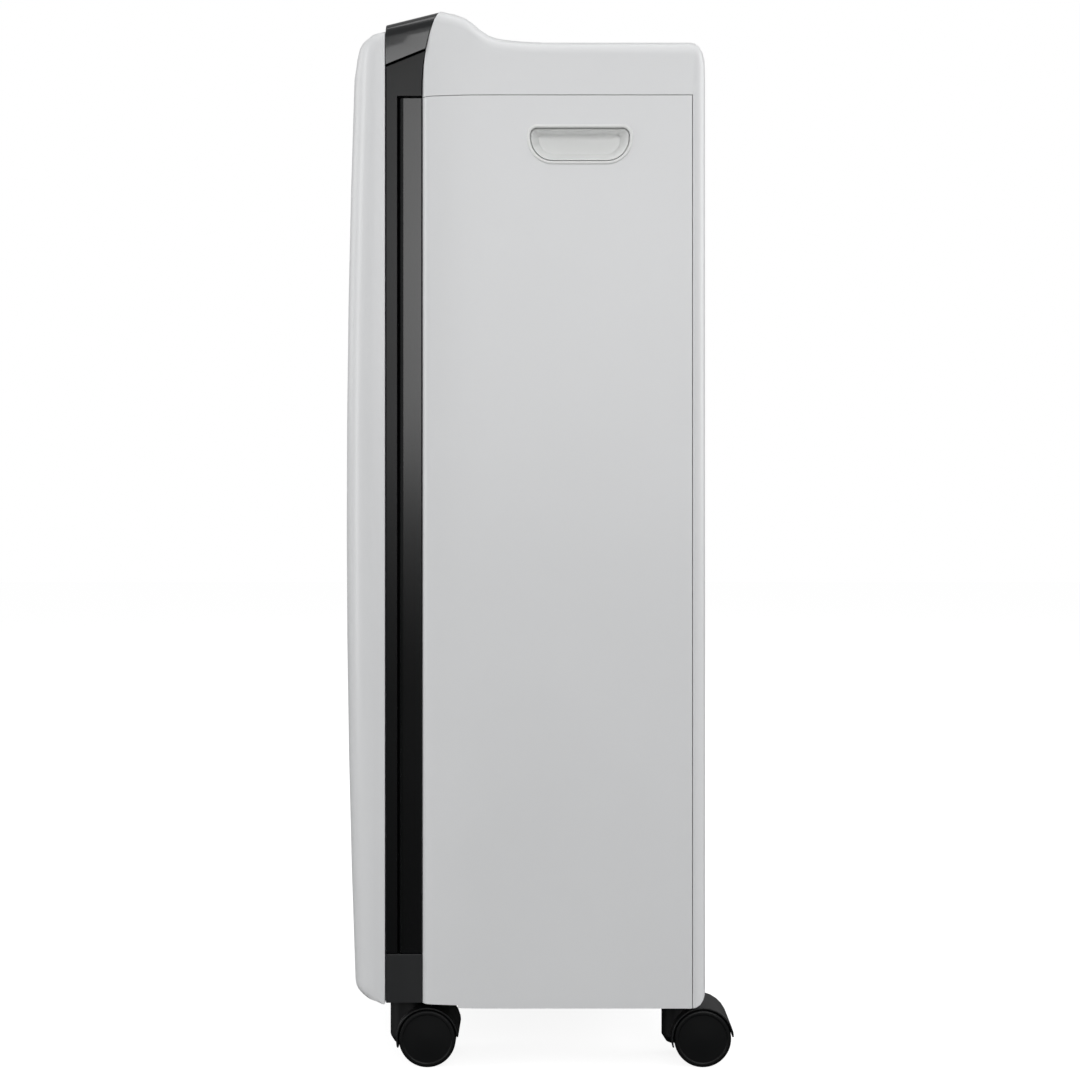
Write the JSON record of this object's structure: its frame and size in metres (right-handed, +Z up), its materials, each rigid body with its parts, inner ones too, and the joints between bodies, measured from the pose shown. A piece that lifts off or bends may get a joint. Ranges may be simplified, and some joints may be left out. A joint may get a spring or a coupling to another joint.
{
  "type": "dehumidifier",
  "caption": "Tall slim dehumidifier on casters with a bowed front cover, a black band, side grips, a rear intake door, a top flap and a pull-out water bucket.",
  "frame": {"origin": "on the floor under the middle of the outline", "axes": "+Z up, the front cover faces -Y, and +X is the right-hand side of a person who stands behind the machine and looks the way it faces"},
  "size_m": [0.3816, 0.2818, 0.74],
  "materials": {
    "white_cover": "smooth moulded ABS, semi-gloss white",
    "black_gloss": "piano black moulded ABS",
    "black_satin": "satin black moulded ABS",
    "black_textured": "spark-eroded texture, black polypropylene",
    "grey_plastic": "moulded grey polypropylene",
    "clear_tank": "translucent polypropylene",
    "filter_mesh": "fine nylon mesh",
    "circuit_board": "glass-epoxy board",
    "soft_tread": "satin black tread",
    "steel": "zinc-plated steel",
    "aluminium_fin": "thin aluminium fins",
    "copper_pipe": "drawn copper",
    "black_enamel": "gloss black enamel on a steel shell"
  },
  "bodies": {
    "housing": {"rear_housing": "white_cover", "side_panel_right": "white_cover", "side_panel_left": "white_cover", "handle_cup_right": "white_cover", "handle_cup_left": "white_cover", "front_cover": "white_cover", "front_frame": "black_gloss", "side_trim_right": "black_gloss", "side_trim_left": "black_gloss", "control_panel": "black_gloss", "display_window": "black_gloss", "base_trim": "black_satin", "base_pan": "black_textured", "outlet_grille": "black_textured", "power_inlet": "black_textured", "inner_chassis": "grey_plastic", "drain_tray": "grey_plastic", "fan_scroll": "grey_plastic", "control_board": "circuit_board", "fan_motor": "steel", "caster_front_left_stem": "steel", "caster_front_right_stem": "steel", "caster_rear_left_stem": "steel", "caster_rear_right_stem": "steel", "condenser_coil": "aluminium_fin", "evaporator_coil": "aluminium_fin", "discharge_pipe": "copper_pipe", "suction_pipe": "copper_pipe", "compressor": "black_enamel"},
    "blower": {"blower_wheel": "black_textured", "fan_shaft": "steel"},
    "louver": {"louver_flap": "white_cover"},
    "intake_door": {"intake_grille": "white_cover", "air_filter": "filter_mesh"},
    "plug": {"drain_plug": "soft_tread"},
    "bucket": {"water_bucket": "clear_tank", "bucket_front": "white_cover"},
    "bail": {"bucket_handle": "grey_plastic"},
    "float": {"bucket_float": "white_cover"},
    "power_key": {"power_button": "black_satin"},
    "mode_key": {"mode_button": "black_satin"},
    "timer_key": {"timer_button": "black_satin"},
    "lower_key": {"lower_button": "black_satin"},
    "raise_key": {"raise_button": "black_satin"},
    "caster_front_left_fork": {"caster_front_left_hood": "black_textured"},
    "caster_front_left_wheels": {"caster_front_left_axle": "steel", "caster_front_left_wheel_outer": "soft_tread", "caster_front_left_wheel_inner": "soft_tread"},
    "caster_front_right_fork": {"caster_front_right_hood": "black_textured"},
    "caster_front_right_wheels": {"caster_front_right_axle": "steel", "caster_front_right_wheel_outer": "soft_tread", "caster_front_right_wheel_inner": "soft_tread"},
    "caster_rear_left_fork": {"caster_rear_left_hood": "black_textured"},
    "caster_rear_left_wheels": {"caster_rear_left_axle": "steel", "caster_rear_left_wheel_outer": "soft_tread", "caster_rear_left_wheel_inner": "soft_tread"},
    "caster_rear_right_fork": {"caster_rear_right_hood": "black_textured"},
    "caster_rear_right_wheels": {"caster_rear_right_axle": "steel", "caster_rear_right_wheel_outer": "soft_tread", "caster_rear_right_wheel_inner": "soft_tread"}
  },
  "joints": [
    {"name": "blower_spin", "type": "hinge", "parent": "housing", "child": "blower", "pos_m": [0, -0.005, 0.478], "axis": [0, 1, 0], "continuous": true},
    {"name": "louver_lift", "type": "hinge", "parent": "housing", "child": "louver", "pos_m": [0, 0.0882, 0.7155], "axis": [-1, 0, 0], "range_deg": [0, 75]},
    {"name": "intake_door_pull", "type": "slide", "parent": "housing", "child": "intake_door", "axis": [0, 1, 0], "range_m": [0, 0.06]},
    {"name": "plug_pull", "type": "slide", "parent": "housing", "child": "plug", "axis": [0, 1, 0], "range_m": [0, 0.02]},
    {"name": "bucket_slide", "type": "slide", "parent": "housing", "child": "bucket", "axis": [0, 1, 0], "range_m": [0, 0.2]},
    {"name": "bail_lift", "type": "hinge", "parent": "bucket", "child": "bail", "pos_m": [0.068, 0.024, 0.18], "axis": [-1, 0, 0], "range_deg": [0, 90]},
    {"name": "float_rise", "type": "hinge", "parent": "bucket", "child": "float", "pos_m": [0.136, 0.098, 0.165], "axis": [-1, 0, 0], "range_deg": [0, 25]},
    {"name": "power_key_press", "type": "slide", "parent": "housing", "child": "power_key", "axis": [0, 0.2396, -0.9709], "range_m": [0, 0.0008], "stiffness_N_per_m": 400},
    {"name": "mode_key_press", "type": "slide", "parent": "housing", "child": "mode_key", "axis": [0, 0.2396, -0.9709], "range_m": [0, 0.0008], "stiffness_N_per_m": 400},
    {"name": "timer_key_press", "type": "slide", "parent": "housing", "child": "timer_key", "axis": [0, 0.2396, -0.9709], "range_m": [0, 0.0008], "stiffness_N_per_m": 400},
    {"name": "lower_key_press", "type": "slide", "parent": "housing", "child": "lower_key", "axis": [0, 0.2396, -0.9709], "range_m": [0, 0.0008], "stiffness_N_per_m": 400},
    {"name": "raise_key_press", "type": "slide", "parent": "housing", "child": "raise_key", "axis": [0, 0.2396, -0.9709], "range_m": [0, 0.0008], "stiffness_N_per_m": 400},
    {"name": "caster_front_left_swivel", "type": "hinge", "parent": "housing", "child": "caster_front_left_fork", "pos_m": [-0.161, -0.09, 0.03], "axis": [0, 0, 1], "continuous": true},
    {"name": "caster_front_left_roll", "type": "hinge", "parent": "caster_front_left_fork", "child": "caster_front_left_wheels", "pos_m": [-0.161, -0.074, 0.02], "axis": [1, 0, 0], "continuous": true},
    {"name": "caster_front_right_swivel", "type": "hinge", "parent": "housing", "child": "caster_front_right_fork", "pos_m": [0.161, -0.09, 0.03], "axis": [0, 0, 1], "continuous": true},
    {"name": "caster_front_right_roll", "type": "hinge", "parent": "caster_front_right_fork", "child": "caster_front_right_wheels", "pos_m": [0.161, -0.074, 0.02], "axis": [1, 0, 0], "continuous": true},
    {"name": "caster_rear_left_swivel", "type": "hinge", "parent": "housing", "child": "caster_rear_left_fork", "pos_m": [-0.161, 0.103, 0.03], "axis": [0, 0, 1], "continuous": true},
    {"name": "caster_rear_left_roll", "type": "hinge", "parent": "caster_rear_left_fork", "child": "caster_rear_left_wheels", "pos_m": [-0.161, 0.119, 0.02], "axis": [1, 0, 0], "continuous": true},
    {"name": "caster_rear_right_swivel", "type": "hinge", "parent": "housing", "child": "caster_rear_right_fork", "pos_m": [0.161, 0.103, 0.03], "axis": [0, 0, 1], "continuous": true},
    {"name": "caster_rear_right_roll", "type": "hinge", "parent": "caster_rear_right_fork", "child": "caster_rear_right_wheels", "pos_m": [0.161, 0.119, 0.02], "axis": [1, 0, 0], "continuous": true}
  ]
}
